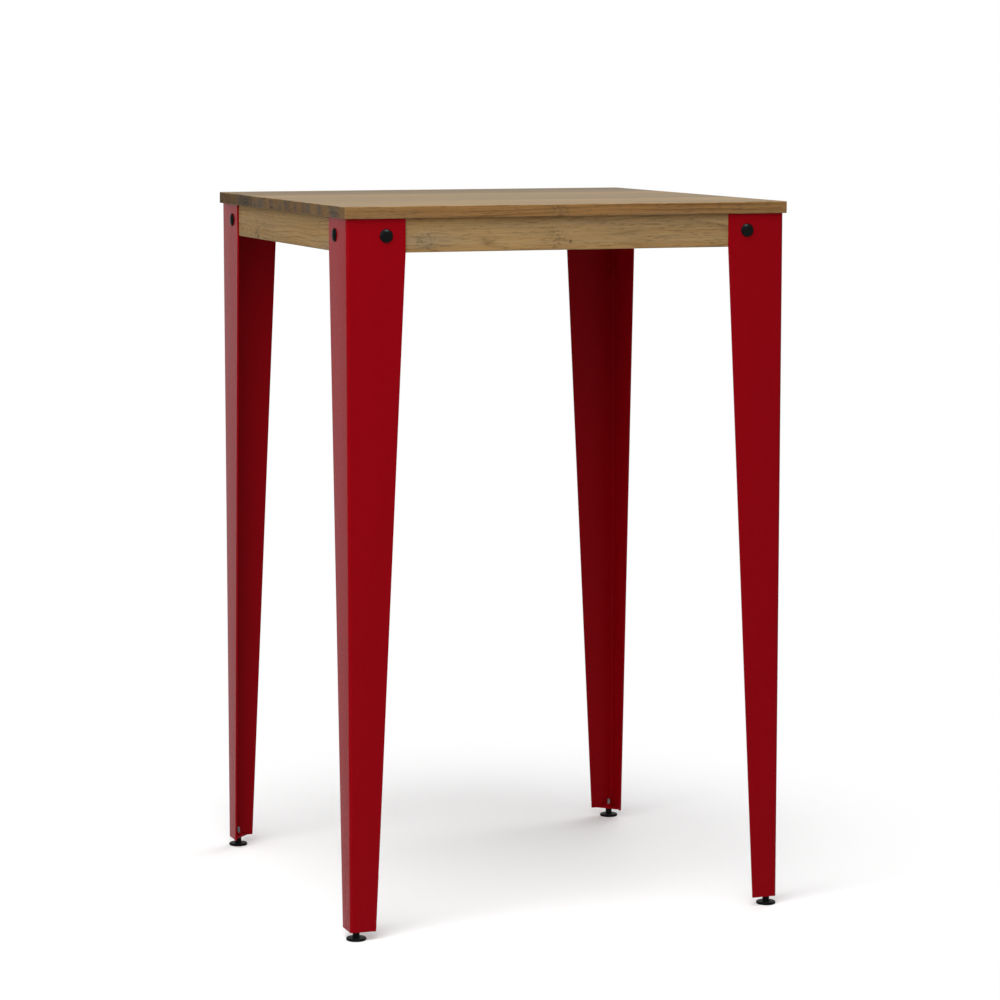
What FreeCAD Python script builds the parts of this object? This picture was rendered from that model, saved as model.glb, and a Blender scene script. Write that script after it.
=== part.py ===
# A square standing-height desk: an edge-glued pine worktop on four pine rails, with four tapered legs
# of folded sheet steel bolted over the corners of the rails and a screw-in levelling foot in each leg.
# Millimetres, +Z up, the front along -Y, the origin on the floor under the middle of the worktop.
import FreeCAD, Part
import math
import os
from FreeCAD import Vector

# Worktop: boards glued edge to edge, with the grain along X
top_length = 700.0
top_width = 700.0
top_thickness = 18.0
top_arris = 1.5
worktop_height = 1090.0
board_count = 7

# Rails: boards on edge under the worktop
rail_height = 50.0
rail_thickness = 18.0
rail_arris = 1.5

# Legs: one sheet each, folded along the outer corner, straight beside the rail and tapered below it
top_overhang = 4.0
leg_sheet = 3.0
leg_bend_radius = 2.0
leg_head_width = 90.0
leg_toe_width = 40.0

# Carriage bolts, two to a leg, with a wide washer and a nut behind the rail
bolt_edge_distance = 30.0
bolt_radius = 4.0
bolt_head_radius = 10.0
bolt_head_height = 3.2
bolt_head_rim = 1.0
bolt_neck_side = 8.0
bolt_neck_clearance = 0.2
bolt_hole_clearance = 0.5
bolt_tail = 4.0
bolt_tip_chamfer = 0.8
washer_radius = 12.0
washer_thickness = 2.0
washer_clearance = 0.4
nut_across_flats = 13.0
nut_height = 6.5
nut_face_share = 0.95

# Wood screws, countersunk
screw_radius = 2.0
screw_head_radius = 4.0
screw_head_height = 2.0
screw_tip = 5.0
screw_clearance = 0.1
corner_screw_length = 50.0
corner_screw_spread = 12.0
top_screw_pitch = 200.0
top_screw_sink = 8.0
top_screw_bite = 13.0
top_screw_bore_clearance = 0.5

# Levelling feet: a plastic foot moulded with a neck, a steel stud, and a nut welded on the leg's toe plate
foot_inset = 12.5
foot_plate_thickness = 3.0
foot_plate_side = 28.0
foot_plate_hole_clearance = 0.3
foot_nut_across_flats = 10.0
foot_nut_height = 5.0
foot_disc_radius = 15.0
foot_disc_height = 4.0
foot_disc_arris = 1.4
foot_neck_radius = 5.25
foot_neck_height = 9.5
foot_neck_fillet = 2.0
foot_sole = 2.0
stud_radius = 3.0
stud_tail = 8.5
stud_tip_chamfer = 0.8
thread_clearance = 0.1

# How far a cutter runs past what it cuts, and how near two heights count as one
overrun = 5.0
same_level = 0.001

# Heights and places that follow from the sizes above
top_underside = worktop_height - top_thickness
rail_underside = top_underside - rail_height
bolt_level = top_underside - rail_height / 2
leg_toe = foot_disc_height + foot_neck_height
leg_corner_x = top_length / 2 - top_overhang
leg_corner_y = top_width / 2 - top_overhang
rail_face_x = leg_corner_x - leg_sheet
rail_face_y = leg_corner_y - leg_sheet
bolt_inset = leg_head_width - bolt_edge_distance

UP = Vector(0, 0, 1)
ALONG_X = Vector(1, 0, 0)
ALONG_Y = Vector(0, 1, 0)
HALF_RIGHT_ANGLE = math.radians(45)
NUT_CHAMFER_ANGLE = math.radians(30)
FULL_TURN = 360
HEX_SIDES = 6

# The corners in their order round the desk, each a quarter turn on from the one before
CORNERS = ("front_left", "front_right", "back_right", "back_left")
SIDES = (-1, 1)


def prism(points, along):
    """The solid that a flat outline sweeps along a vector."""
    return Part.Face(Part.makePolygon(points + points[:1])).extrude(along)


def turned(edges):
    """The solid that a profile in the XZ plane sweeps round the Z axis."""
    return Part.Face(Part.Wire(edges)).revolve(Vector(), UP, FULL_TURN)


def chain(points):
    """Straight edges from point to point, in the XZ plane, with none between points that coincide."""
    spots = [Vector(r, 0, z) for r, z in points]
    return [Part.makeLine(a, b) for a, b in zip(spots, spots[1:]) if (b - a).Length > same_level]


def arc(start, middle, end):
    """A round edge through three points of the XZ plane."""
    return Part.Arc(*(Vector(r, 0, z) for r, z in (start, middle, end))).toShape()


def cut_away(solid, cutters):
    """A solid less its cutters."""
    return solid.cut(Part.makeCompound(cutters)).Solids[0]


def seated(shape, place, direction):
    """A copy of a shape with its own +Z turned to a direction and its origin at a place."""
    copy = shape.copy()
    copy.Placement = FreeCAD.Placement(place, FreeCAD.Rotation(UP, direction))
    return copy


def at_corner(shape, corner):
    """A copy of a shape drawn at a leg's outer corner, with the leg's two flanges along +X and +Y."""
    x = leg_corner_x if corner.endswith("right") else -leg_corner_x
    y = leg_corner_y if corner.startswith("back") else -leg_corner_y
    copy = shape.copy()
    copy.rotate(Vector(), UP, CORNERS.index(corner) * FULL_TURN / len(CORNERS))
    copy.translate(Vector(x, y, 0))
    return copy


def hexagon(across_flats, height, bore_radius):
    """A six-sided nut on the XY plane, with its corners turned off at both ends and a plain bore."""
    corner_radius = across_flats / 2 / math.cos(math.pi / HEX_SIDES)
    face_radius = across_flats / 2 * nut_face_share
    chamfer = (corner_radius - face_radius) * math.tan(NUT_CHAMFER_ANGLE)
    turns = [2 * math.pi * i / HEX_SIDES for i in range(HEX_SIDES)]
    corners = [Vector(corner_radius * math.cos(t), corner_radius * math.sin(t), 0) for t in turns]
    lathe_form = turned(chain([
        (0, 0),
        (face_radius, 0),
        (corner_radius, chamfer),
        (corner_radius, height - chamfer),
        (face_radius, height),
        (0, height),
        (0, 0),
    ]))
    body = prism(corners, UP * height).common(lathe_form).Solids[0]
    return cut_away(body, [Part.makeCylinder(bore_radius, height)])


# Worktop boards


def top_boards(screw_bores):
    """The worktop with all its arrises eased, bored for its screws and parted at the glue lines."""
    corner = Vector(-top_length / 2, -top_width / 2, top_underside)
    panel = Part.makeBox(top_length, top_width, top_thickness, corner)
    panel = cut_away(panel.makeFillet(top_arris, panel.Edges), screw_bores)
    board_width = top_width / board_count
    boards = []
    for i in range(board_count):
        start = corner + ALONG_Y * (i * board_width)
        boards.append(panel.common(Part.makeBox(top_length, board_width, top_thickness, start)).Solids[0])
    return boards


# Rails


def rail(outline):
    """A rail on its plan outline, with its long lower arrises eased."""
    blank = prism([Vector(x, y, rail_underside) for x, y in outline], UP * rail_height)
    low = [e for e in blank.Edges if abs(e.BoundBox.ZMax - rail_underside) < same_level]
    longest = max(e.Length for e in low)
    long_edges = [e for e in low if e.Length > longest / 2]
    return blank.makeFillet(rail_arris, long_edges)


def cross_rail(side):
    """The front or back rail, which runs from leg to leg and clears the fold of both at its outer corners."""
    outer = side * rail_face_y
    inner = outer - side * rail_thickness
    relief = leg_bend_radius
    outline = [
        (-rail_face_x, inner),
        (-rail_face_x, outer - side * relief),
        (-rail_face_x + relief, outer),
        (rail_face_x - relief, outer),
        (rail_face_x, outer - side * relief),
        (rail_face_x, inner),
    ]
    return rail(outline)


def side_rail(side):
    """The left or right rail, which butts between the front and back rails."""
    outer = side * rail_face_x
    inner = outer - side * rail_thickness
    end = rail_face_y - rail_thickness
    return rail([(outer, -end), (outer, end), (inner, end), (inner, -end)])


# Legs


def leg_section():
    """The folded sheet in plan at full width, with concentric arcs at the fold."""
    outer_radius = leg_bend_radius + leg_sheet
    outer_mid = outer_radius - outer_radius * math.sin(HALF_RIGHT_ANGLE)
    inner_mid = outer_radius - leg_bend_radius * math.sin(HALF_RIGHT_ANGLE)

    def at(u, v):
        return Vector(u, v, leg_toe)

    return Part.Wire([
        Part.makeLine(at(outer_radius, 0), at(leg_head_width, 0)),
        Part.makeLine(at(leg_head_width, 0), at(leg_head_width, leg_sheet)),
        Part.makeLine(at(leg_head_width, leg_sheet), at(outer_radius, leg_sheet)),
        Part.Arc(at(outer_radius, leg_sheet), at(inner_mid, inner_mid), at(leg_sheet, outer_radius)).toShape(),
        Part.makeLine(at(leg_sheet, outer_radius), at(leg_sheet, leg_head_width)),
        Part.makeLine(at(leg_sheet, leg_head_width), at(0, leg_head_width)),
        Part.makeLine(at(0, leg_head_width), at(0, outer_radius)),
        Part.Arc(at(0, outer_radius), at(outer_mid, outer_mid), at(outer_radius, 0)).toShape(),
    ])


def taper_offcut(flange, across):
    """The wedge that comes off one flange below the rail."""
    outline = [
        (leg_head_width, rail_underside),
        (leg_head_width + overrun, rail_underside),
        (leg_head_width + overrun, leg_toe - overrun),
        (leg_toe_width, leg_toe - overrun),
        (leg_toe_width, leg_toe),
    ]
    points = [flange * u + UP * z - across * overrun for u, z in outline]
    return prism(points, across * (leg_sheet + overrun + overrun))


def neck_hole(flange, across):
    """The square hole that keeps a carriage bolt from turning."""
    side = bolt_neck_side + bolt_neck_clearance + bolt_neck_clearance
    middle = flange * bolt_inset + UP * bolt_level
    start = middle - (flange + UP) * (side / 2) - across * overrun
    end = middle + (flange + UP) * (side / 2) + across * (leg_sheet + overrun)
    size = end - start
    return Part.makeBox(size.x, size.y, size.z, start)


def leg():
    """One leg at its outer corner: folded, tapered and pierced."""
    blank = Part.Face(leg_section()).extrude(UP * (top_underside - leg_toe))
    flanges = ((ALONG_X, ALONG_Y), (ALONG_Y, ALONG_X))
    cutters = [taper_offcut(*f) for f in flanges] + [neck_hole(*f) for f in flanges]
    return cut_away(blank, cutters)


# Leg bolts


def carriage_bolt():
    """A round-headed bolt along +Z, with its head's seat at the origin and a square neck under the head."""
    shank = leg_sheet + rail_thickness + washer_thickness + nut_height + bolt_tail
    rise = bolt_head_height - bolt_head_rim
    dome_radius = (bolt_head_radius ** 2 + rise ** 2) / (2 * rise)
    lean = math.asin(bolt_head_radius / dome_radius) / 2
    crown = (dome_radius * math.sin(lean), dome_radius - bolt_head_height - dome_radius * math.cos(lean))
    edge = (bolt_head_radius, -bolt_head_rim)
    profile = chain([
        (0, -bolt_head_height),
        (0, shank),
        (bolt_radius - bolt_tip_chamfer, shank),
        (bolt_radius, shank - bolt_tip_chamfer),
        (bolt_radius, 0),
        (bolt_head_radius, 0),
        edge,
    ])
    round_part = turned(profile + [arc(edge, crown, (0, -bolt_head_height))])
    half = bolt_neck_side / 2
    neck = Part.makeBox(bolt_neck_side, bolt_neck_side, leg_sheet, Vector(-half, -half, 0))
    return round_part.fuse(neck).removeSplitter().Solids[0]


def washer():
    """A wide washer on the XY plane."""
    ring = Part.makeCylinder(washer_radius, washer_thickness)
    return cut_away(ring, [Part.makeCylinder(bolt_radius + washer_clearance, washer_thickness)])


def at_bolts(shape, depth):
    """A copy of a shape on each bolt's axis, at a depth behind the leg's outer face."""
    copies = []
    for corner in CORNERS:
        for flange, across in ((ALONG_X, ALONG_Y), (ALONG_Y, ALONG_X)):
            place = flange * bolt_inset + UP * bolt_level + across * depth
            copies.append(at_corner(seated(shape, place, across), corner))
    return copies


def bolt_bores():
    """The clearance holes for the bolts through the rails."""
    return at_bolts(Part.makeCylinder(bolt_radius + bolt_hole_clearance, rail_thickness), leg_sheet)


# Wood screws


def wood_screw(length):
    """A countersunk screw along +Z with the flat of its head at the origin."""
    return turned(chain([
        (0, 0),
        (screw_head_radius, 0),
        (screw_radius, screw_head_height),
        (screw_radius, length - screw_tip),
        (0, length),
        (0, 0),
    ]))


def screw_bore(length, mouth_radius, mouth_depth):
    """The hole that a screw of that length fills, with a wider mouth in front of its head."""
    return turned(chain([
        (0, -mouth_depth),
        (mouth_radius, -mouth_depth),
        (mouth_radius, 0),
        (screw_head_radius + screw_clearance, 0),
        (screw_radius + screw_clearance, screw_head_height),
        (screw_radius + screw_clearance, length),
        (0, length),
        (0, -mouth_depth),
    ]))


def at_rail_corners(shape):
    """Copies of a shape driven through the ends of the front and back rails into the side rails."""
    copies = []
    for side_x in SIDES:
        for side_y in SIDES:
            for above in SIDES:
                across = side_x * (rail_face_x - rail_thickness / 2)
                level = bolt_level + above * corner_screw_spread
                place = Vector(across, side_y * rail_face_y, level)
                copies.append(seated(shape, place, ALONG_Y * -side_y))
    return copies


def at_top_screws(shape):
    """Copies of a shape driven upwards through the rails into the worktop."""
    copies = []
    level = rail_underside + top_screw_sink
    for side in SIDES:
        for step in (-1, 0, 1):
            along = step * top_screw_pitch
            cross = Vector(along, side * (rail_face_y - rail_thickness / 2), level)
            beside = Vector(side * (rail_face_x - rail_thickness / 2), along, level)
            copies += [seated(shape, cross, UP), seated(shape, beside, UP)]
    return copies


# Levelling feet


def foot_plate():
    """The three-cornered plate welded inside a leg's toe, with its corner cut to clear the fold."""
    outline = [
        (leg_sheet + leg_bend_radius, leg_sheet),
        (leg_sheet + foot_plate_side, leg_sheet),
        (leg_sheet, leg_sheet + foot_plate_side),
        (leg_sheet, leg_sheet + leg_bend_radius),
    ]
    plate = prism([Vector(u, v, leg_toe) for u, v in outline], UP * foot_plate_thickness)
    hole_radius = stud_radius + foot_plate_hole_clearance
    centre = Vector(foot_inset, foot_inset, leg_toe)
    return cut_away(plate, [Part.makeCylinder(hole_radius, foot_plate_thickness, centre)])


def foot_weld_nut():
    """The nut welded on top of the toe plate."""
    nut = hexagon(foot_nut_across_flats, foot_nut_height, stud_radius + thread_clearance)
    return seated(nut, Vector(foot_inset, foot_inset, leg_toe + foot_plate_thickness), UP)


def foot_stud():
    """The threaded stud, from its seat in the foot to the tip that stands above the nut."""
    tip = leg_toe + foot_plate_thickness + foot_nut_height + stud_tail
    stud = turned(chain([
        (0, foot_sole),
        (stud_radius, foot_sole),
        (stud_radius, tip - stud_tip_chamfer),
        (stud_radius - stud_tip_chamfer, tip),
        (0, tip),
        (0, foot_sole),
    ]))
    return seated(stud, Vector(foot_inset, foot_inset, 0), UP)


def foot_base():
    """The moulded foot: a round-edged disc that runs up into a neck, with a blind socket for the stud."""
    turn_in = math.sin(HALF_RIGHT_ANGLE)
    rim = foot_disc_radius - foot_disc_arris
    rim_mid = rim + foot_disc_arris * turn_in
    shoulder = foot_disc_height - foot_disc_arris
    socket = stud_radius + thread_clearance
    hollow = foot_neck_radius + foot_neck_fillet
    hollow_top = foot_disc_height + foot_neck_fillet
    hollow_mid = (hollow - foot_neck_fillet * turn_in, hollow_top - foot_neck_fillet * turn_in)
    low_mid = (rim_mid, foot_disc_arris - foot_disc_arris * turn_in)
    high_mid = (rim_mid, shoulder + foot_disc_arris * turn_in)
    profile = chain([(0, foot_sole), (0, 0), (rim, 0)])
    profile.append(arc((rim, 0), low_mid, (foot_disc_radius, foot_disc_arris)))
    profile += chain([(foot_disc_radius, foot_disc_arris), (foot_disc_radius, shoulder)])
    profile.append(arc((foot_disc_radius, shoulder), high_mid, (rim, foot_disc_height)))
    profile += chain([(rim, foot_disc_height), (hollow, foot_disc_height)])
    profile.append(arc((hollow, foot_disc_height), hollow_mid, (foot_neck_radius, hollow_top)))
    profile += chain([
        (foot_neck_radius, hollow_top),
        (foot_neck_radius, leg_toe),
        (socket, leg_toe),
        (socket, foot_sole),
        (0, foot_sole),
    ])
    return seated(turned(profile), Vector(foot_inset, foot_inset, 0), UP)


# The assembly, one node to a file


def assembly():
    """Every node's name with its solids."""
    top_screw_length = rail_height - top_screw_sink + top_screw_bite
    top_bore_radius = screw_head_radius + top_screw_bore_clearance
    corner_bore = screw_bore(corner_screw_length, screw_head_radius + screw_clearance, overrun)
    top_bore = screw_bore(top_screw_length, top_bore_radius, top_screw_sink + overrun)
    corner_bores = at_rail_corners(corner_bore)
    top_bores = at_top_screws(top_bore)

    nodes = {}
    for number, board in enumerate(top_boards(top_bores), start=1):
        nodes[f"top_board_{number}"] = [board]

    rails = {
        "rail_front": cross_rail(-1),
        "rail_back": cross_rail(1),
        "rail_left": side_rail(-1),
        "rail_right": side_rail(1),
    }
    for name, solid in rails.items():
        nodes[name] = [cut_away(solid, bolt_bores() + corner_bores + top_bores)]

    corner_pieces = {
        "leg": leg(),
        "foot_plate": foot_plate(),
        "foot_weld_nut": foot_weld_nut(),
        "foot_stud": foot_stud(),
        "foot_base": foot_base(),
    }
    for name, solid in corner_pieces.items():
        for corner in CORNERS:
            nodes[f"{name}_{corner}"] = [at_corner(solid, corner)]

    behind_rail = leg_sheet + rail_thickness
    leg_nut = hexagon(nut_across_flats, nut_height, bolt_radius + thread_clearance)
    nodes["leg_bolts"] = at_bolts(carriage_bolt(), 0)
    nodes["leg_bolt_washers"] = at_bolts(washer(), behind_rail)
    nodes["leg_bolt_nuts"] = at_bolts(leg_nut, behind_rail + washer_thickness)
    nodes["rail_corner_screws"] = at_rail_corners(wood_screw(corner_screw_length))
    nodes["top_screws"] = at_top_screws(wood_screw(top_screw_length))
    return nodes


os.makedirs("parts", exist_ok=True)
for node, solids in assembly().items():
    whole = solids[0] if len(solids) == 1 else Part.makeCompound(solids)
    whole.exportStep(os.path.join("parts", node + ".step"))
    print(node, len(solids), all(s.isValid() for s in solids), round(sum(s.Volume for s in solids), 1))
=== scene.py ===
import math

import bmesh
import bpy
from mathutils import Matrix, Vector


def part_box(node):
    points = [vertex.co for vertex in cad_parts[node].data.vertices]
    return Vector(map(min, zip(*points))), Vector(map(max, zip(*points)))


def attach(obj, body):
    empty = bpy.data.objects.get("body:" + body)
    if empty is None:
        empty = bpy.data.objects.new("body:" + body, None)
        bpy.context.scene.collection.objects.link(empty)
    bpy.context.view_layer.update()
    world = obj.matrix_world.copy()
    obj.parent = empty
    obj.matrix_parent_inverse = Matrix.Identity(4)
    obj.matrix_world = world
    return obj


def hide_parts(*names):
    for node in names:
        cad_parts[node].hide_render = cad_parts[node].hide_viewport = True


# The desk as it is built: every size below is in metres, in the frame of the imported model, with +Z up,
# the front along -Y and the origin on the floor under the middle of the worktop.
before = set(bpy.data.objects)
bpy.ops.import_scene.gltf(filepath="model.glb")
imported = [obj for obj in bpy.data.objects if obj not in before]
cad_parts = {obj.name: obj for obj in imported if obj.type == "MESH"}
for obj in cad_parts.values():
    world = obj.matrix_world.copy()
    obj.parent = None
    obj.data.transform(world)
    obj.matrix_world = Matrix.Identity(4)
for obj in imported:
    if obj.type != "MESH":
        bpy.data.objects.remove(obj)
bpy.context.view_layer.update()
corners = ("front_left", "front_right", "back_right", "back_left")


# Worktop: seven pine boards glued edge to edge with the grain along X, planed flat, with eased arrises.
# The wood is stained a greyish brown and oiled, and rings, knots and fibres show through its satin.
class Flow:
    """One socket of a node tree. Sums on it add Math nodes, and node() adds a node of any kind."""

    def __init__(self, tree, socket=None):
        self.tree = tree
        self.socket = socket

    def node(self, kind, settings, sockets, output=0):
        """Adds a node, sets it up, fills or links its sockets, and gives one of its outputs."""
        made = self.tree.nodes.new("ShaderNode" + kind)
        for name, value in settings.items():
            if name == "stops":
                while len(made.color_ramp.elements) < len(value):
                    made.color_ramp.elements.new(0)
                for element, (position, grey) in zip(made.color_ramp.elements, value):
                    element.position = position
                    element.color = (grey, grey, grey, 1)
            else:
                setattr(made, name, value)
        for name, value in sockets.items():
            if isinstance(value, Flow):
                self.tree.links.new(value.socket, made.inputs[name])
            else:
                made.inputs[name].default_value = value
        return Flow(self.tree, made.outputs[output]) if made.outputs else None

    def math(self, operation, *values):
        return self.node("Math", {"operation": operation}, dict(enumerate(values)))

    def __add__(self, other):
        return self.math("ADD", self, other)

    def __sub__(self, other):
        return self.math("SUBTRACT", self, other)

    def __rsub__(self, other):
        return self.math("SUBTRACT", other, self)

    def __mul__(self, other):
        return self.math("MULTIPLY", self, other)

    def __truediv__(self, other):
        return self.math("DIVIDE", self, other)

    def __rtruediv__(self, other):
        return self.math("DIVIDE", other, self)

    __radd__ = __add__
    __rmul__ = __mul__

    def floor(self):
        return self.math("FLOOR", self)

    def fraction(self):
        return self.math("FRACT", self)

    def root(self):
        return self.math("SQRT", self)

    def size(self):
        return self.math("ABSOLUTE", self)

    def least(self, other):
        return self.math("MINIMUM", self, other)

    def split(self):
        """The three numbers of a vector or a colour."""
        x = self.node("SeparateXYZ", {}, {0: self})
        return [Flow(self.tree, socket) for socket in x.socket.node.outputs]

    def join(self, x, y, z):
        """Three numbers as a vector."""
        return self.node("CombineXYZ", {}, {0: x, 1: y, 2: z})

    def point(self):
        """The point of the surface, in the object's own frame."""
        return self.node("TexCoord", {}, {}, "Object")

    def rise(self, start, end, low=0.0, high=1.0):
        """A smooth step from low to high as this value goes from start to end."""
        sockets = {"Value": self, 1: start, 2: end, 3: low, 4: high}
        return self.node("MapRange", {"interpolation_type": "SMOOTHSTEP"}, sockets)

    def reach_from(self, place, axis=(0, 0, 0)):
        """The distance of this point to a line through a place, or to the place where the axis is nil."""
        offset = self.node("VectorMath", {"operation": "SUBTRACT"}, {0: self, 1: place})
        if any(axis):
            offset = self.node("VectorMath", {"operation": "CROSS_PRODUCT"}, {0: offset, 1: axis})
        return self.node("VectorMath", {"operation": "LENGTH"}, {0: offset}, "Value")

    def noise(self, x, y, z, detail=2.0, output=0):
        """Smooth noise of about unit grain over a point given by three numbers."""
        sockets = {"Vector": self.join(x, y, z), "Scale": 1.0, "Detail": detail}
        return self.node("TexNoise", {}, sockets, output)

    def even_noise(self, grains, detail=2.0):
        """Smooth noise with so many grains to a metre, alike in all directions."""
        return self.node("TexNoise", {}, {"Vector": self.point(), "Scale": grains, "Detail": detail})

    def blend(self, factor, first, second, way="MIX"):
        """Two colours mixed by a factor."""
        sockets = {0: factor, 6: first, 7: second}
        return self.node("Mix", {"data_type": "RGBA", "blend_type": way}, sockets, 2)

    def shaded(self, colour, shade):
        """A colour made darker or lighter by a number."""
        return self.blend(1.0, colour, self.join(shade, shade, shade), "MULTIPLY")

    def relief(self, height, strength, depth):
        """A fine relief of the surface, as its normal."""
        return self.node("Bump", {}, {"Strength": strength, "Distance": depth, "Height": height})


def new_finish(name):
    """A material with an empty tree, and a Flow to build it with."""
    finish = bpy.data.materials.new(name)
    finish.use_nodes = True
    finish.node_tree.nodes.clear()
    return finish, Flow(finish.node_tree)


def coated(flow, sockets):
    """A Principled surface with these sockets, led to the material's output."""
    shader = flow.node("BsdfPrincipled", {}, sockets)
    flow.node("OutputMaterial", {}, {"Surface": shader})


def refinish(node, finish):
    """Gives a CAD node its finish."""
    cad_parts[node].material_slots[0].material = finish


def pine(name, tones, along, middle, pith, ring_pitch, knots, smudges, boards=None):
    """Solid pine: rings round a wandering pith, knots on their own axes, fibres, flecks and stain.

    along is the axis of the grain, middle the board's centre and pith the heart's place beside it, both
    across the grain. Knots have a place, an axis and a radius, and smudges a place and a reach. boards is
    the start and the width of the boards where the wood is glued up, each board being from its own tree."""
    tone = {part: (*colour, 1) for part, colour in tones.items()}
    pith_sway = (0.07, 0.05)
    ring_waver = 0.013
    ring_ripple = 0.0009
    tree_draw = 8.3
    ember_tint = (0.98, 0.82, 0.56, 1)
    # The paler tone painted on the rounded arrises
    pale_arris_tone = (0.42, 0.30, 0.16, 1)
    finish, flow = new_finish(name)
    point = flow.point()
    normal_x, normal_y, normal_z = flow.node("TexCoord", {}, {}, "Normal").split()
    x, y, z = point.split()
    grain, cross, end_facing = (x, y, normal_x) if along == "X" else (y, x, normal_y)
    level = z - middle[1]
    if boards:
        start, width = boards
        run = (y - start) / width
        number = run.floor()
        chance = flow.node("TexWhiteNoise", {"noise_dimensions": "1D"}, {"W": number + tree_draw}, "Color")
        shift, side, board_tone = chance.split()
        cross = y - start - (number + 0.5) * width + (side - 0.5) * (pith[0] * 2)
        level = level + (board_tone * 1.2 + 0.9) * pith[1]
        grain = grain + shift * 9.0
        glue = (run.fraction() - 0.5).size().rise(0.493, 0.499) * (1.0 - normal_y.size())
    else:
        cross = cross - middle[0] - pith[0]
        level = level - pith[1]
        board_tone = 0.5
        glue = 0.0

    def drawn_out(lengthwise, across, detail):
        """Noise drawn out along the grain, with so many grains to a metre each way."""
        return flow.noise(grain * lengthwise, cross * across, level * across, detail)

    # Knots: a branch is a rod of darker wood, cracked and uneven, and the rings swerve round it
    ragged = flow.even_noise(160.0, 3.0)
    swerve = 0.0
    rim = 0.0
    core = 0.0
    for place, axis, radius in knots:
        reach = point.reach_from(place, axis)
        swerve = reach.rise(0, radius * 9.0, radius * 2.4, 0) + swerve
        reach = reach + (ragged - 0.5) * (radius * 1.3)
        core = reach.rise(radius * 1.3, radius * 0.5) + core
        rim = reach.rise(radius * 0.5, radius * 0.9) * reach.rise(radius * 1.5, radius) + rim
    smudge = 0.0
    for place, reach in smudges:
        smudge = point.reach_from(place).rise(reach, 0) + smudge

    # Rings: the distance to a pith that wanders along the board, with thin dark summer wood
    sway_cross, sway_level = flow.noise(grain * 1.5, 0.5, 0.5, 1.0, "Color").split()[:2]
    waver = drawn_out(4.0, 22.0, 2.0)
    ripple = drawn_out(17.0, 90.0, 2.0)
    off_cross = cross + (sway_cross - 0.5) * pith_sway[0]
    off_level = level + (sway_level - 0.5) * pith_sway[1]
    radius = (off_cross * off_cross + off_level * off_level).root()
    radius = radius + (waver - 0.5) * ring_waver + (ripple - 0.5) * ring_ripple + swerve
    spacing = flow.noise(radius * 38.0, 2.5, 7.5)
    ring = (radius / ring_pitch + spacing * 4.0).fraction()
    stops = [(0.0, 0.3), (0.07, 0.0), (0.5, 0.05), (0.78, 0.4), (0.93, 1.0), (1.0, 0.3)]
    late = flow.node("ValToRGB", {"stops": stops}, {"Fac": ring})
    late = late * drawn_out(5.0, 34.0, 2.0).rise(0.35, 0.62, 0.12, 1.0)

    # Fibres, the short dark flecks of resin canals, and the stain's specks, streaks, blotches and glow
    fibre = drawn_out(8.0, 420.0, 4.0)
    crowd = drawn_out(7.0, 45.0, 2.0)
    fleck = (drawn_out(62.0, 430.0, 2.0) + crowd * 0.22 + smudge * 0.06).rise(0.64, 0.80)
    speck = drawn_out(190.0, 380.0, 2.0).rise(0.47, 0.66)
    streak = drawn_out(2.5, 95.0, 3.0)
    blotch = drawn_out(9.0, 32.0, 3.0)
    patch = (drawn_out(3.0, 20.0, 3.0) + smudge * 0.1).rise(0.42, 0.78)
    ember = drawn_out(2.2, 70.0, 3.0).rise(0.42, 0.68)
    if along == "X" and not boards:
        edge_run = (z - middle[1] + (ripple - 0.5) * 0.006).size().rise(0.014, 0.019)
        ember = ember * 0.8 + edge_run

    body = flow.blend(late * (0.95 if boards else 0.65), tone["spring"], tone["summer"])
    body = flow.blend(patch * 0.6, body, tone["grey"])
    glowing = flow.blend(1.0, body, ember_tint, "MULTIPLY")
    body = flow.blend((ember * 0.5).least(1.0), body, glowing)
    shade = 1.0 + (fibre - 0.5) * 0.62 + (streak - 0.5) * 0.50 + (blotch - 0.5) * 0.26
    shade = shade - fleck * 0.26 + (board_tone - 0.5) * 0.18 - smudge * speck * 0.38 - glue * 0.25
    body = flow.shaded(body, shade)
    body = flow.blend(core.least(1.0) * ragged.rise(0.2, 0.7, 0.55, 0.8), body, tone["knot"])
    body = flow.blend(rim.least(1.0) * ragged.rise(0.35, 0.65, 0.0, 0.6), body, tone["knot"])
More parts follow.
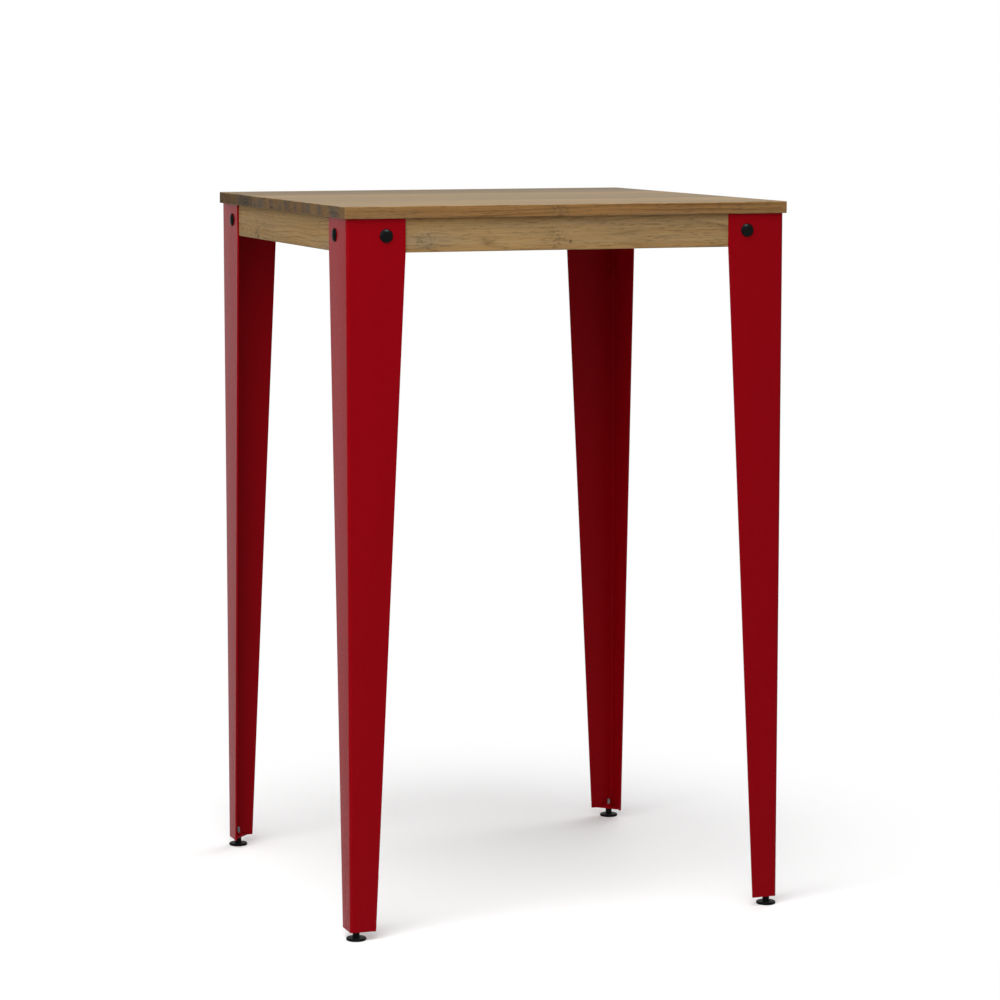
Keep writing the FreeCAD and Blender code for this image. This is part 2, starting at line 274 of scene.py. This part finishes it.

    # The upper face gets painted sheen and painted shade, end grain drinks more stain, arrises are painted
    # paler
    upward = normal_z.rise(0.6, 0.95)
    # Painted sheen: a pale greyish tone mixed into upper faces stands in for the sheen that light gives the
    # top
    body = flow.blend(upward * 0.3, body, tone["painted_sheen"])
    # Painted shade: upper faces are darkened against the stronger light on them; the streaks and board
    # tones are the wood's own
    line = flow.noise(grain * 1.2, cross * 120.0, 3.0, 3.0) + flow.noise(grain * 0.7, cross * 32.0, 6.0)
    top_painted_shade_and_streaks = 1.0 - upward * (0.34 - (line - 1.0) * 0.5 - (board_tone - 0.5) * 0.34)
    body = flow.shaded(body, top_painted_shade_and_streaks)
    end_share = end_facing.size().rise(0.55, 0.95)
    end_patch = flow.noise(cross * 30.0, level * 20.0, board_tone * 40.0, 3.0).rise(0.40, 0.70)
    pore = flow.noise(cross * 900.0, level * 900.0, 4.0)
    saw = flow.noise(cross * 320.0, level * 60.0, 9.0)
    end_shade = 1.38 - late + (pore - 0.5) * 0.6 + (saw - 0.5) * 0.5 + (board_tone - 0.5) * 0.7
    end_body = flow.shaded(flow.blend(end_patch, tone["end brown"], tone["end grey"]), end_shade)
    body = flow.blend(end_share, body, end_body)
    # Rounded arrises, where the normal slants between two axes, are painted a paler tone in patches
    slant = (normal_x * normal_y).size() + (normal_y * normal_z).size() + (normal_x * normal_z).size()
    pale_arris = slant.rise(0.15, 0.45) * flow.even_noise(35.0).rise(0.35, 0.6)
    coated(flow, {
        "Base Color": flow.blend(pale_arris * 0.45, body, pale_arris_tone),
        "Roughness": 0.74 + (streak - 0.5) * 0.2 + end_share * 0.2 - upward * 0.10,
        "Specular IOR Level": 0.20,
        "Coat Weight": upward * 0.12,
        "Coat Roughness": 0.4,
        "Normal": flow.relief(fibre * 0.5 + streak * 0.3 - fleck * 0.7 - late * 0.4, 0.35, 0.0004),
    })
    return finish


top_low, top_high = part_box("top_board_1")
top_middle = (0.0, (top_low.z + top_high.z) / 2)
board_width = top_high.y - top_low.y
board_count = round(-2 * top_low.y / board_width)
top_pith = (0.045, 0.050)
top_ring_pitch = 0.0072
top_tones = {
    "spring": (0.258, 0.133, 0.040),
    "summer": (0.126, 0.056, 0.013),
    "grey": (0.206, 0.126, 0.052),
    "knot": (0.058, 0.028, 0.011),
    "end brown": (0.110, 0.062, 0.025),
    "end grey": (0.050, 0.041, 0.031),
    # painted sheen: a pale tone mixed into upper faces in place of their sheen
    "painted_sheen": (0.222, 0.222, 0.122),
}
upright = (0.0, 0.0, 1.0)
leaning = (0.9, 0.2, 1.0)
top_knots = (
    ((0.21, -0.19, top_high.z), leaning, 0.0060),
    ((-0.13, -0.07, top_high.z), upright, 0.0035),
    ((-0.27, 0.24, top_high.z), upright, 0.0065),
    ((0.08, 0.13, top_high.z), leaning, 0.0040),
    ((0.29, 0.05, top_high.z), upright, 0.0025),
)
front_smudge = (-0.018, top_low.y, top_high.z - 0.008)
front_smudge_reach = 0.03
pine_top = pine("pine_top_oiled", top_tones, "X", top_middle, top_pith, top_ring_pitch, top_knots,
                [(front_smudge, front_smudge_reach)], (top_low.y, board_width))
for number in range(1, board_count + 1):
    refinish(f"top_board_{number}", pine_top)


# Rails: four pine boards on edge under the worktop, screwed together at the corners and up into the top.
# They are cut from flat-sawn stock, so the rings run out on their faces in long loops.
rail_ring_pitch = 0.0066
rail_tones = {
    "spring": (0.345, 0.220, 0.092),
    "summer": (0.130, 0.073, 0.026),
    "grey": (0.252, 0.192, 0.118),
    "knot": (0.080, 0.042, 0.019),
    "end brown": (0.140, 0.100, 0.060),
    "end grey": (0.085, 0.078, 0.068),
    # painted sheen: a pale tone mixed into upper faces in place of their sheen
    "painted_sheen": (0.330, 0.260, 0.150),
}
branch_axes = {"X": (0.05, 1.0, 0.1), "Y": (1.0, 0.05, 0.1)}


def dress_rail(node, along, pith, knots, smudges):
    """Gives a rail its own wood. Knots and smudges have a place along the rail, a height and a reach."""
    low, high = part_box(node)
    centre = (low + high) / 2

    def on_face(run, height):
        """A point of the rail's outer face, so high above its underside."""
        if along == "X":
            return (run, low.y if centre.y < 0 else high.y, low.z + height)
        return (low.x if centre.x < 0 else high.x, run, low.z + height)

    middle = (centre.y if along == "X" else centre.x, centre.z)
    rods = [(on_face(run, height), branch_axes[along], radius) for run, height, radius in knots]
    stains = [(on_face(run, height), reach) for run, height, reach in smudges]
    refinish(node, pine("pine_" + node, rail_tones, along, middle, pith, rail_ring_pitch, rods, stains))


dress_rail("rail_front", "X", pith=(0.050, 0.004), knots=[(0.002, 0.0125, 0.0022)],
           smudges=[(-0.225, 0.016, 0.03), (-0.02, 0.018, 0.03)])
dress_rail("rail_back", "X", pith=(-0.030, 0.040), knots=[(0.12, 0.030, 0.006), (-0.15, 0.018, 0.003)],
           smudges=[(0.05, 0.018, 0.04)])
dress_rail("rail_left", "Y", pith=(0.040, -0.055), knots=[(0.140, 0.004, 0.0040)],
           smudges=[(0.150, 0.008, 0.02)])
dress_rail("rail_right", "Y", pith=(-0.040, 0.025), knots=[(-0.09, 0.028, 0.005), (0.18, 0.014, 0.003)],
           smudges=[(0.02, 0.018, 0.04)])


# Legs: each is one steel sheet, cut flat with its square bolt holes, folded along its outer corner and
# powder coated red. It is straight beside the rail and tapers from there down to the toe.
def solid_piece(name, skin, finish, place=Matrix.Identity(4), crease=math.radians(35)):
    """A skin as an object, with its faces smooth between creases."""
    mesh = bpy.data.meshes.new(name)
    skin.to_mesh(mesh)
    skin.free()
    mesh.transform(place)
    mesh.polygons.foreach_set("use_smooth", [True] * len(mesh.polygons))
    mesh.set_sharp_from_angle(angle=crease)
    mesh.materials.append(finish)
    made = bpy.data.objects.new(name, mesh)
    bpy.context.scene.collection.objects.link(made)
    return made


def thicken(piece, thickness):
    """Gives a sheet its thickness, inwards from the face that is drawn."""
    plate = piece.modifiers.new("sheet", "SOLIDIFY")
    plate.thickness = thickness
    plate.offset = -1
    plate.use_even_offset = True


def soften(piece, width):
    """Rounds the sharp edges of a piece by a small radius."""
    bevel = piece.modifiers.new("eased edges", "BEVEL")
    bevel.width = width
    bevel.segments = 3
    bevel.limit_method = "ANGLE"
    bevel.angle_limit = math.radians(40)
    bevel.harden_normals = True


def powder_coat(name, colour):
    """Baked-on powder: an even colour, a fine orange peel and a satin gloss that varies a little."""
    finish, flow = new_finish(name)
    x, y, z = flow.point().split()
    cloud = flow.noise(x * 25.0, y * 25.0, z * 9.0, 3.0)
    peel = flow.even_noise(900.0)
    grit = flow.even_noise(3200.0, 1.0)
    thin = tuple(part * 0.9 for part in colour)
    coated(flow, {
        "Base Color": flow.blend(cloud, (*thin, 1), (*colour, 1)),
        "Roughness": 0.28 + (cloud - 0.5) * 0.10 + (peel - 0.5) * 0.08,
        "Specular IOR Level": 0.038,
        "Normal": flow.relief(peel + grit * 0.4, 0.12, 0.0002),
    })
    return finish


red_paint = powder_coat("red_powder_coat_satin", (0.288, 0.0008, 0.0048))
leg_low, leg_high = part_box("leg_front_left")
rail_low, rail_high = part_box("rail_front")
shoulder = rail_low.z
head_width = leg_high.x - leg_low.x
toe_width = 0.040
sheet = 0.003
fold_radius = 0.005
fold_steps = 12
bolt_inset = 0.060
bolt_level = (shoulder + leg_high.z) / 2
hole_side = 0.0084
leg_edge = 0.0005


def leg_sheet():
    """The folded sheet's outer face, at a corner with its two flanges along +X and +Y."""
    skin = bmesh.new()
    known = {}

    def spot(u, v, z):
        key = (round(u, 7), round(v, 7), round(z, 7))
        if key not in known:
            known[key] = skin.verts.new((u, v, z))
        return known[key]

    rows = (leg_low.z, shoulder, bolt_level - hole_side / 2, bolt_level + hole_side / 2, leg_high.z)
    columns = (fold_radius, bolt_inset - hole_side / 2, bolt_inset + hole_side / 2, head_width)
    taper = [(fold_radius, rows[0]), (toe_width, rows[0])] + [(u, shoulder) for u in reversed(columns)]
    outlines = [taper]
    for row, (low, high) in enumerate(zip(rows[1:], rows[2:])):
        for column, (near, far) in enumerate(zip(columns, columns[1:])):
            if (row, column) != (1, 1):
                outlines.append([(near, low), (far, low), (far, high), (near, high)])
    for outline in outlines:
        skin.faces.new([spot(u, 0, z) for u, z in outline])
        skin.faces.new([spot(0, u, z) for u, z in reversed(outline)])
    turns = [math.radians(90) * i / fold_steps for i in range(fold_steps + 1)]
    fold = [(fold_radius * (1 - math.sin(t)), fold_radius * (1 - math.cos(t))) for t in turns]
    for low, high in zip(rows, rows[1:]):
        for near, far in zip(fold, fold[1:]):
            skin.faces.new([spot(*far, low), spot(*near, low), spot(*near, high), spot(*far, high)])
    return skin


def at_corner(number):
    """The place of a leg's outer corner, turned so that its flanges run along the desk's sides."""
    low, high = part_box("leg_" + corners[number])
    x = low.x if corners[number].endswith("left") else high.x
    y = low.y if corners[number].startswith("front") else high.y
    return Matrix.Translation((x, y, 0)) @ Matrix.Rotation(math.radians(90) * number, 4, "Z")


for number, corner in enumerate(corners):
    leg = solid_piece("folded_leg_" + corner, leg_sheet(), red_paint, at_corner(number))
    thicken(leg, sheet)
    soften(leg, leg_edge)
    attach(leg, "frame")
    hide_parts("leg_" + corner)


# Toe plates and their nuts: a three-cornered plate welded inside each leg's toe carries a welded nut.
# They are coated together with the leg, so they take the same red.
for corner in corners:
    refinish("foot_plate_" + corner, red_paint)
    refinish("foot_weld_nut_" + corner, red_paint)


# Leg bolts: two black carriage bolts to a leg, with a domed head outside and a square neck in the sheet.
# Each goes through the rail and ends in a short threaded tail behind the nut.
def at(value, angle):
    """A size that is either the same all round or given by a function of the angle."""
    return value(angle) if callable(value) else value


def turn(skin, profile, place, sides=48):
    """Adds to a skin what a profile of (radius, height) points sweeps round the Z axis of a place."""
    rings = []
    for radius, height in profile:
        count = 1 if radius == 0 else sides
        angles = [2 * math.pi * i / sides for i in range(count)]
        spots = [(at(radius, a) * math.cos(a), at(radius, a) * math.sin(a), at(height, a)) for a in angles]
        rings.append([skin.verts.new(place @ Vector(s)) for s in spots])
    for low, high in zip(rings, rings[1:]):
        for i in range(sides):
            j = i + 1
            loop = (low[i % len(low)], low[j % len(low)], high[j % len(high)], high[i % len(high)])
            skin.faces.new(dict.fromkeys(loop))
    bmesh.ops.remove_doubles(skin, verts=skin.verts, dist=1e-6)


def thread(radius, pitch, low, high):
    """The profile of a screw thread cut from a rod between two heights."""
    depth_share = 0.6
    flank_slope = 1.25
    crest_share = 0.12
    steps_per_turn = 8

    def groove(height):
        def cut(angle):
            place = (height / pitch - angle / (2 * math.pi)) % 1
            flank = min(max(abs(2 * place - 1) * flank_slope - crest_share, 0), 1)
            return radius - depth_share * pitch * flank
        return cut

    count = math.ceil((high - low) / pitch * steps_per_turn)
    heights = [low + (high - low) * i / count for i in range(count + 1)]
    return [(groove(h), h) for h in heights]


def facing(place, direction):
    """A place whose own +Z axis points along a direction."""
    turned = Vector((0, 0, 1)).rotation_difference(Vector(direction)).to_matrix().to_4x4()
    return Matrix.Translation(place) @ turned


def bolt_places(depth):
    """The axis of each bolt, at a depth behind the leg's outer face and pointing inwards."""
    for number in range(len(corners)):
        yield at_corner(number) @ facing((bolt_inset, depth, bolt_level), (0, 1, 0))
        yield at_corner(number) @ facing((depth, bolt_inset, bolt_level), (1, 0, 0))


def dark_steel(name):
    """Blackened steel: almost black, a satin sheen and faint handling marks."""
    finish, flow = new_finish(name)
    cloud = flow.even_noise(220.0, 3.0)
    grit = flow.even_noise(2600.0)
    coated(flow, {
        "Base Color": flow.blend(cloud, (0.0060, 0.0064, 0.0064, 1), (0.0105, 0.0110, 0.0110, 1)),
        "Metallic": 1.0,
        "Roughness": 0.20 + (cloud - 0.5) * 0.12,
        "Specular Tint": (0.5, 0.5, 0.5, 1),
        "Normal": flow.relief(grit, 0.15, 0.0001),
    })
    return finish


rail_thickness = rail_high.y - rail_low.y
bolt_radius = 0.004
bolt_pitch = 0.00125
head_radius = 0.010
head_height = 0.0032
head_rim = 0.0010
rim_round = 0.0003
neck_side = 0.008
washer_thickness = 0.002
nut_height = 0.0065
bolt_tail = 0.004
bolt_tip = 0.0008
thread_start = sheet + rail_thickness
bolt_end = thread_start + washer_thickness + nut_height + bolt_tail
dome_rise = head_height - head_rim
dome_steps = 18
bolt_profile = []
for step in range(dome_steps + 1):
    lean = math.radians(90) * step / dome_steps
    bolt_profile.append((head_radius * math.sin(lean), dome_rise * (1 - math.cos(lean)) - head_height))
bolt_profile += [
    (head_radius, -rim_round),
    (head_radius - rim_round, 0.0),
    (bolt_radius, 0.0),
    (bolt_radius, thread_start),
]
bolt_profile += thread(bolt_radius, bolt_pitch, thread_start, bolt_end - bolt_tip)
bolt_profile += [(bolt_radius - bolt_tip, bolt_end), (0, bolt_end)]
bolt_skin = bmesh.new()
for place in bolt_places(0):
    turn(bolt_skin, bolt_profile, place)
    neck = Matrix.Diagonal((neck_side, neck_side, sheet, 1))
    bmesh.ops.create_cube(bolt_skin, size=1, matrix=place @ Matrix.Translation((0, 0, sheet / 2)) @ neck)
bolts = solid_piece("carriage_bolt_set", bolt_skin, dark_steel("black_bolt_steel"))
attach(bolts, "frame")
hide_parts("leg_bolts")


# Washers and nuts: behind each rail a wide washer spreads the bolt's pull over the pine, under a hexagon
# nut with turned-off corners. Both are stamped or forged steel, zinc plated and gone a little dull.
def zinc_plate(name):
    """Zinc on steel: a cool grey metal darkened by painted shade, with soft spangle and a few dull stains.
    """
    finish, flow = new_finish(name)
    spangle = flow.even_noise(420.0, 3.0)
    dull = flow.even_noise(90.0).rise(0.45, 0.7)
    # Painted shade: these greys are about half those of bright zinc, so the metal looks as dark as it does
    # in shade
    tint = flow.blend(spangle, (0.23, 0.25, 0.25, 1), (0.34, 0.36, 0.35, 1))
    coated(flow, {
        "Base Color": flow.blend(dull * 0.5, tint, (0.19, 0.20, 0.19, 1)),
        "Metallic": 1.0 - dull * 0.25,
        "Roughness": 0.30 + dull * 0.25,
        "Normal": flow.relief(spangle, 0.1, 0.0001),
    })
    return finish


zinc = zinc_plate("zinc_plating")
washer_radius = 0.012
washer_bore = 0.0044
washer_edge = 0.0003
washer_skin = bmesh.new()
washer_profile = [
    (washer_bore, 0.0),
    (washer_radius - washer_edge, 0.0),
    (washer_radius, washer_edge),
    (washer_radius, washer_thickness - washer_edge),
    (washer_radius - washer_edge, washer_thickness),
    (washer_bore + washer_edge, washer_thickness),
    (washer_bore, washer_thickness - washer_edge),
    (washer_bore, 0.0),
]
for place in bolt_places(thread_start):
    turn(washer_skin, washer_profile, place, sides=64)
washers = solid_piece("wide_washer_set", washer_skin, zinc)
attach(washers, "frame")
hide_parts("leg_bolt_washers")

nut_across_flats = 0.013
nut_bore = 0.0041
nut_face_share = 0.95
nut_face = nut_across_flats / 2 * nut_face_share
nut_countersink = 0.0006
nut_chamfer = math.radians(30)


def nut_flat(angle):
    """How far a nut's side stands from its axis at an angle."""
    beside = (angle + math.radians(30)) % math.radians(60) - math.radians(30)
    return nut_across_flats / 2 / math.cos(beside)


def nut_corner_cut(angle):
    """How much of a nut's height is turned off at an angle, at each end."""
    return (nut_flat(angle) - nut_face) * math.tan(nut_chamfer)


nut_profile = [
    (nut_bore, nut_countersink),
    (nut_bore + nut_countersink, 0.0),
    (nut_face, 0.0),
    (nut_flat, nut_corner_cut),
    (nut_flat, lambda angle: nut_height - nut_corner_cut(angle)),
    (nut_face, nut_height),
    (nut_bore + nut_countersink, nut_height),
    (nut_bore, nut_height - nut_countersink),
    (nut_bore, nut_countersink),
]
nut_skin = bmesh.new()
for place in bolt_places(thread_start + washer_thickness):
    turn(nut_skin, nut_profile, place, sides=72)
nuts = solid_piece("hexagon_nut_set", nut_skin, zinc, crease=math.radians(28))
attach(nuts, "frame")
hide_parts("leg_bolt_nuts")


# Wood screws: countersunk screws with a cross recess join the rails at the corners and hold the worktop,
# driven up through deep counterbores in the rails' undersides.
screw_radius = 0.002
screw_head_radius = 0.004
screw_head_height = 0.002
screw_head_edge = 0.0002
screw_point = 0.005
screw_core_share = 0.7
screw_pitch = 0.0018
screw_sides = 24
recess_reach = 0.0022
recess_width = 0.0008
recess_depth = 0.0014
recess_taper_share = 0.6


def ring_edges(skin, ring):
    """The edges that join the points of a ring in turn."""
    return [skin.edges.get((ring[i], ring[(i + 1) % len(ring)])) for i in range(len(ring))]


def add_screw(skin, place, length):
    """Adds one screw to a skin, with the flat of its head at the place and its point along +Z."""
    half = recess_width / 2
    outline = []
    for quarter in range(4):
        swing = Matrix.Rotation(math.radians(90) * quarter, 2)
        outline += [swing @ Vector(c) for c in ((recess_reach, -half), (recess_reach, half), (half, half))]
    mouth = [skin.verts.new(place @ Vector((*c, 0))) for c in outline]
    floor = [skin.verts.new(place @ Vector((*(c * recess_taper_share), recess_depth))) for c in outline]
    for i in range(len(mouth)):
        j = (i + 1) % len(mouth)
        skin.faces.new((mouth[i], floor[i], floor[j], mouth[j]))
    skin.faces.new(floor[::-1])
    profile = [
        (screw_head_radius, 0.0),
        (screw_head_radius, screw_head_edge),
        (screw_radius, screw_head_height),
    ]
    profile += thread(screw_radius, screw_pitch, screw_head_height + screw_radius, length - screw_point)
    profile += [(screw_radius * screw_core_share, length - screw_point), (0, length)]
    before = len(skin.verts)
    turn(skin, profile, place, screw_sides)
    skin.verts.ensure_lookup_table()
    edges = ring_edges(skin, mouth) + ring_edges(skin, skin.verts[before:before + screw_sides])
    bmesh.ops.triangle_fill(skin, use_beauty=True, edges=edges, normal=place.to_3x3() @ Vector((0, 0, -1)))


corner_spread = 0.012
corner_length = 0.050
side_rail_low, side_rail_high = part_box("rail_right")
side_rail_middle = (side_rail_low.x + side_rail_high.x) / 2
corner_skin = bmesh.new()
for side_x in (-1, 1):
    for side_y in (-1, 1):
        for above in (-1, 1):
            spot = (side_x * side_rail_middle, side_y * -rail_low.y, bolt_level + above * corner_spread)
            add_screw(corner_skin, facing(spot, (0, -side_y, 0)), corner_length)
corner_screws = solid_piece("corner_screw_set", corner_skin, zinc)
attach(corner_screws, "frame")
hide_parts("rail_corner_screws")

top_pitch = 0.200
top_sink = 0.008
top_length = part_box("top_screws")[1].z - shoulder - top_sink
cross_rail_middle = abs(rail_low.y + rail_high.y) / 2
top_skin = bmesh.new()
for side in (-1, 1):
    for step in (-1, 0, 1):
        cross_spot = (step * top_pitch, side * cross_rail_middle)
        side_spot = (side * side_rail_middle, step * top_pitch)
        for spot in (cross_spot, side_spot):
            add_screw(top_skin, Matrix.Translation((*spot, shoulder + top_sink)), top_length)
top_screws = solid_piece("top_screw_set", top_skin, zinc)
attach(top_screws, "frame")
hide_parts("top_screws")


# Levelling feet: a zinc-plated stud screwed up through the toe nut, with a black plastic foot moulded on
# its lower end. Turning the foot by hand raises or lowers that corner of the desk.
def moulded_plastic(name):
    """Black moulded plastic: a fine spark-eroded grain, with a little dust in it."""
    finish, flow = new_finish(name)
    grain = flow.even_noise(2400.0)
    dust = flow.even_noise(300.0, 3.0).rise(0.5, 0.8)
    coated(flow, {
        "Base Color": flow.blend(dust * 0.4, (0.0030, 0.0030, 0.0032, 1), (0.0110, 0.0105, 0.0100, 1)),
        "Roughness": 0.48 + dust * 0.2,
        "Specular IOR Level": 0.05,
        "Normal": flow.relief(grain, 0.25, 0.0001),
    })
    return finish


foot_plastic = moulded_plastic("black_foot_plastic")
stud_pitch = 0.001
stud_tip = 0.0008
stud_end_share = 0.9
for corner in corners:
    refinish("foot_base_" + corner, foot_plastic)
    low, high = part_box("foot_stud_" + corner)
    middle = (low + high) / 2
    stud_radius = (high.x - low.x) / 2
    length = high.z - low.z
    profile = [(0, 0.0), (stud_radius * stud_end_share, 0.0)]
    profile += thread(stud_radius, stud_pitch, stud_pitch, length - stud_tip)
    profile += [(stud_radius - stud_tip, length), (0, length)]
    skin = bmesh.new()
    turn(skin, profile, Matrix.Translation((middle.x, middle.y, low.z)), sides=32)
    stud = solid_piece("threaded_stud_" + corner, skin, zinc)
    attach(stud, "stud_" + corner)
    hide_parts("foot_stud_" + corner)


# Studio: a pale floor that runs out to white in a white surround, three soft lamps, and a card in front
# that gives polished pieces their gloss. The floor is in quarters, and each goes with the foot on it, so
# that an unscrewed foot still stands on the floor.
def seen_directly(flow):
    """One for the rays that show a surface, by camera, mirror or glass, and nought for the rest."""
    kinds = ("Camera", "Glossy", "Transmission")
    camera, mirror, glass = [flow.node("LightPath", {}, {}, f"Is {kind} Ray") for kind in kinds]
    return (camera + mirror + glass).least(1.0)


floor_reach = 30.0
lit_middle = (-0.22, 0.10, 0.0)
lit_reach = 0.5
plain_reach = 1.25
floor_glow = 0.01
shown_grey = (1.0, 1.0, 1.0, 1)
bounce_grey = (0.50, 0.50, 0.50, 1)
floor_finish, flow = new_finish("studio_floor")
seen = seen_directly(flow)
far = flow.point().reach_from(lit_middle).rise(lit_reach, plain_reach)
shown = flow.node("BsdfDiffuse", {}, {"Color": shown_grey})
bounce = flow.node("BsdfDiffuse", {}, {"Color": bounce_grey})
glow = flow.node("Emission", {}, {"Strength": floor_glow})
white = flow.node("Emission", {}, {"Strength": 1.0})
lit = flow.node("AddShader", {}, {0: shown, 1: glow})
near = flow.node("MixShader", {}, {0: far, 1: lit, 2: white})
flow.node("OutputMaterial", {}, {"Surface": flow.node("MixShader", {}, {0: seen, 1: bounce, 2: near})})
for corner in corners:
    side_x = -1 if corner.endswith("left") else 1
    side_y = -1 if corner.startswith("front") else 1
    centre = Matrix.Translation(Vector((side_x, side_y, 0)) * (floor_reach / 2))
    quarter_skin = bmesh.new()
    bmesh.ops.create_grid(quarter_skin, x_segments=1, y_segments=1, size=floor_reach / 2, matrix=centre)
    quarter = solid_piece("studio_floor_" + corner, quarter_skin, floor_finish)
    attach(quarter, "stud_" + corner)

room_light = 0.28
world = bpy.data.worlds.new("studio")
bpy.context.scene.world = world
world.use_nodes = True
world.node_tree.nodes.clear()
flow = Flow(world.node_tree)
room = flow.node("Background", {}, {"Color": (1, 1, 1, 1), "Strength": room_light})
backdrop = flow.node("Background", {}, {"Color": (1, 1, 1, 1), "Strength": 1.0})
surround = flow.node("MixShader", {}, {0: seen_directly(flow), 1: room, 2: backdrop})
flow.node("OutputWorld", {}, {"Surface": surround})


def soft_lamp(name, place, aim, size, power, mirrored=True, lights=True):
    """A square lamp facing a point, which shows in polished surfaces or not, and lights the rest or not."""
    lamp = bpy.data.lights.new(name, "AREA")
    lamp.shape = "SQUARE"
    lamp.size = size
    lamp.energy = power
    made = bpy.data.objects.new(name, lamp)
    made.location = place
    made.visible_camera = False
    made.visible_glossy = mirrored
    made.visible_diffuse = lights
    made.rotation_euler = (Vector(aim) - Vector(place)).to_track_quat("-Z", "Y").to_euler()
    bpy.context.scene.collection.objects.link(made)


desk_middle = (0.0, 0.0, 0.5)
desk_head = (0.0, 0.0, 1.0)
soft_lamp("overhead_lamp", (-0.72, -1.05, 4.2), desk_middle, size=3.0, power=108.0)
soft_lamp("side_lamp", (-2.5, -2.6, 3.0), desk_middle, size=4.0, power=118.0)
soft_lamp("fill_lamp", (2.7, 2.5, 2.6), desk_middle, size=4.0, power=85.0, mirrored=False)
soft_lamp("gloss_card", (0.93, -3.48, 3.1), desk_head, size=1.4, power=90.0, lights=False)


# Camera: a little above the worktop and to the left of the desk's front, tilted down, with a long lens
# far enough away that the legs hardly draw together.
camera_place = (-1.773, -5.000, 1.271)
camera_down = 7.13
camera_turn = -19.66
camera_lens = 120.7
camera = bpy.data.cameras.new("camera")
camera.lens = camera_lens
camera_object = bpy.data.objects.new("camera", camera)
camera_object.location = camera_place
camera_object.rotation_euler = (math.radians(90 - camera_down), 0, math.radians(camera_turn))
bpy.context.scene.collection.objects.link(camera_object)
bpy.context.scene.camera = camera_object
bpy.context.scene.view_settings.view_transform = "Standard"
